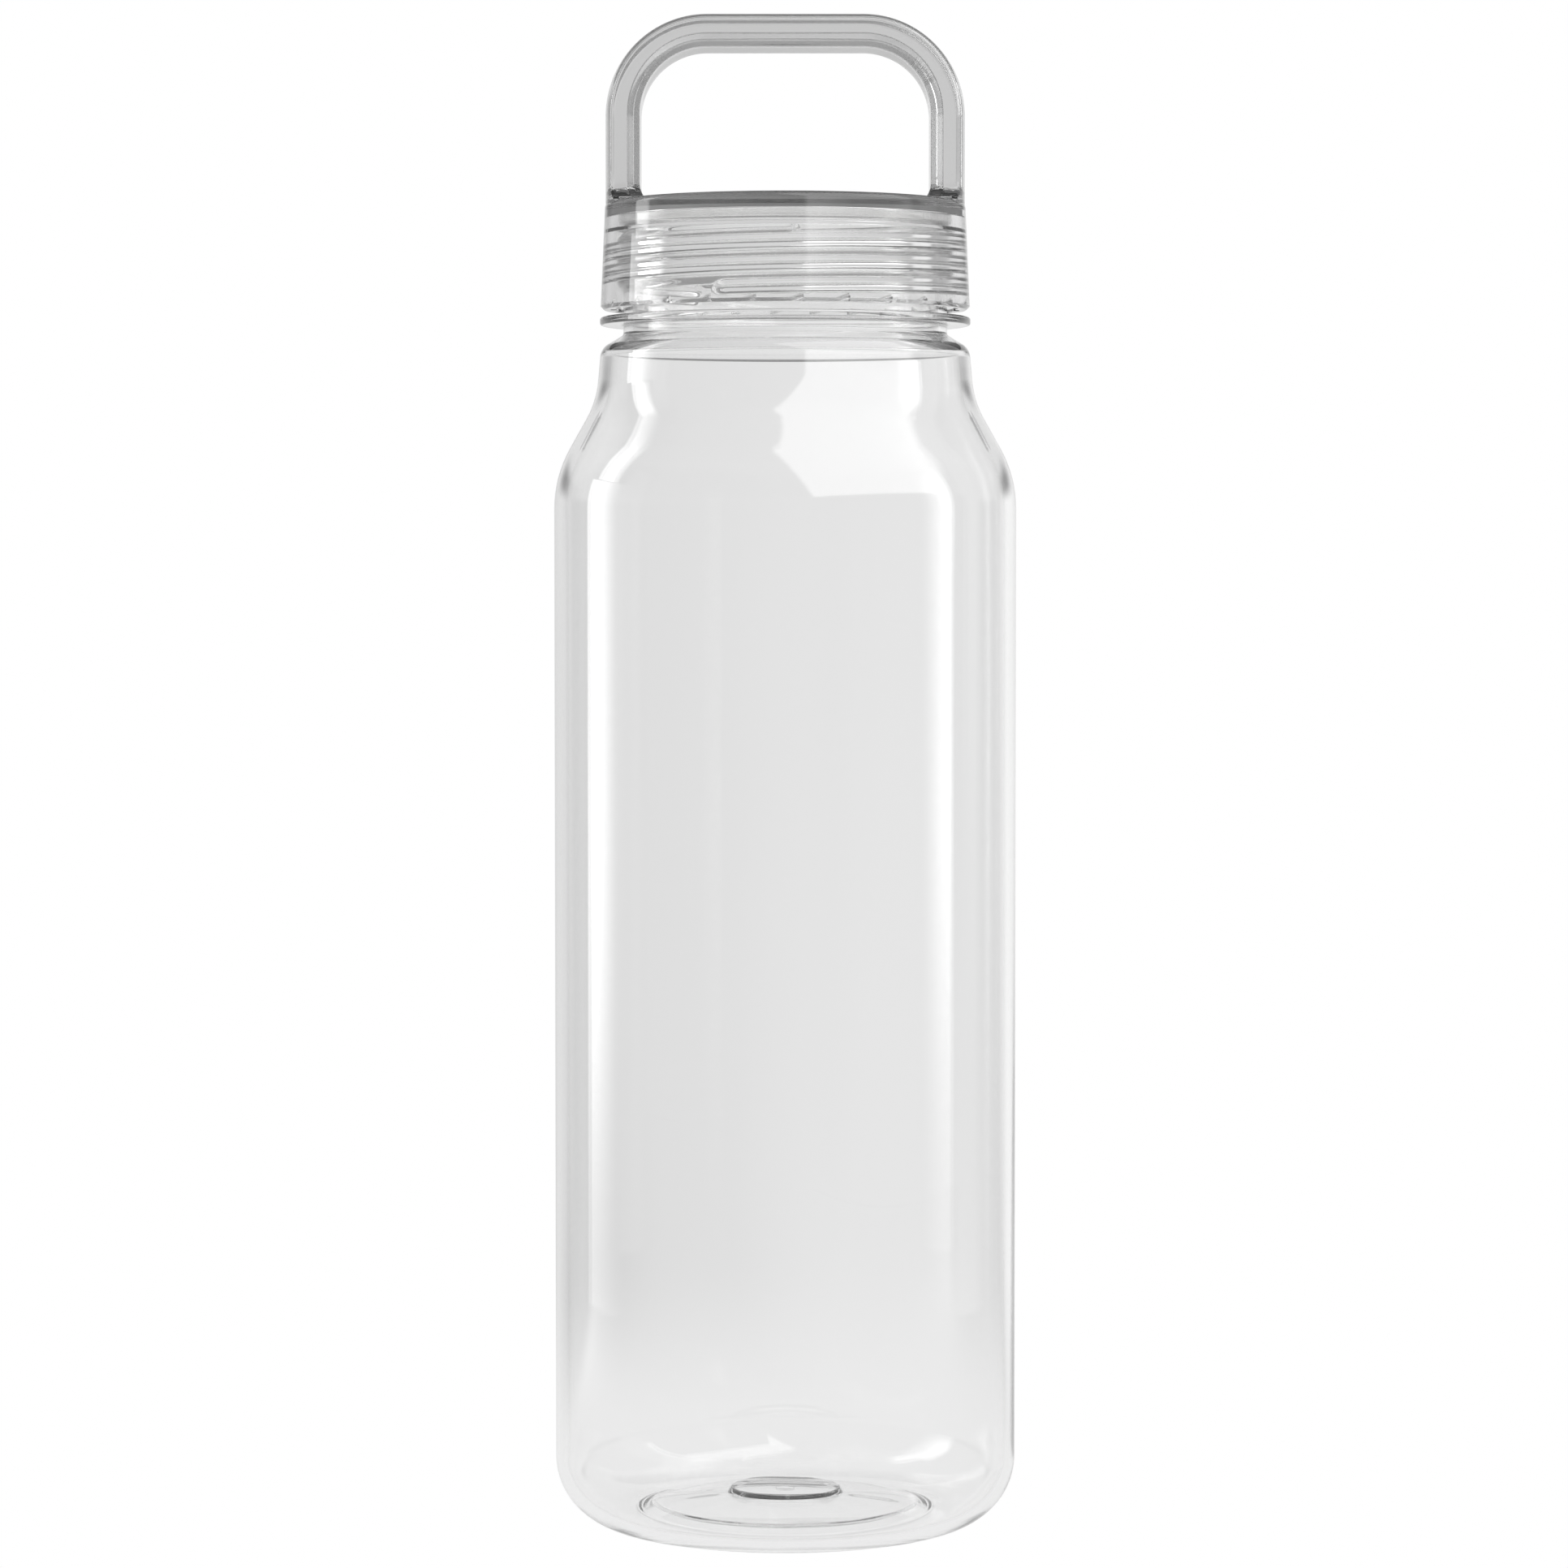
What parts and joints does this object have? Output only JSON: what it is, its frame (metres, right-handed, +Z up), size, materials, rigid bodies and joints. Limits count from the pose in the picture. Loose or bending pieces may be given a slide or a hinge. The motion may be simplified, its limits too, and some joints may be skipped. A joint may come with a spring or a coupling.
{
  "type": "water bottle",
  "caption": "Clear round plastic water bottle with a wide threaded neck, a support ring, and a screw lid that carries a tall moulded-in carrying loop and a soft seal ring.",
  "frame": {"origin": "on the bottle's axis, at the plane the bottle stands on", "axes": "+Z up along the bottle's axis; +X runs across the carrying loop from leg to leg; -Y is the front"},
  "size_m": [0.082, 0.082, 0.2683],
  "materials": {
    "clear_body": "clear, colourless, glossy copolyester",
    "clear_lid": "clear, colourless, glossy copolyester",
    "seal": "translucent white silicone, satin"
  },
  "bodies": {
    "bottle": {"bottle_body": "clear_body"},
    "seal": {"sealing_gasket": "seal"},
    "screw_lid": {"lid": "clear_lid"}
  },
  "joints": [
    {"name": "lid_lift", "type": "slide", "parent": "bottle", "child": "seal", "axis": [0, 0, 1], "range_m": [0, 0.02]},
    {"name": "lid_turn", "type": "hinge", "parent": "seal", "child": "screw_lid", "pos_m": [0, 0, 0.2162], "axis": [0, 0, 1], "range_deg": [0, 1890]}
  ],
  "couplings": [
    {"joint": "lid_lift", "follows": "lid_turn", "m_per_rad": 0.00060479}
  ]
}
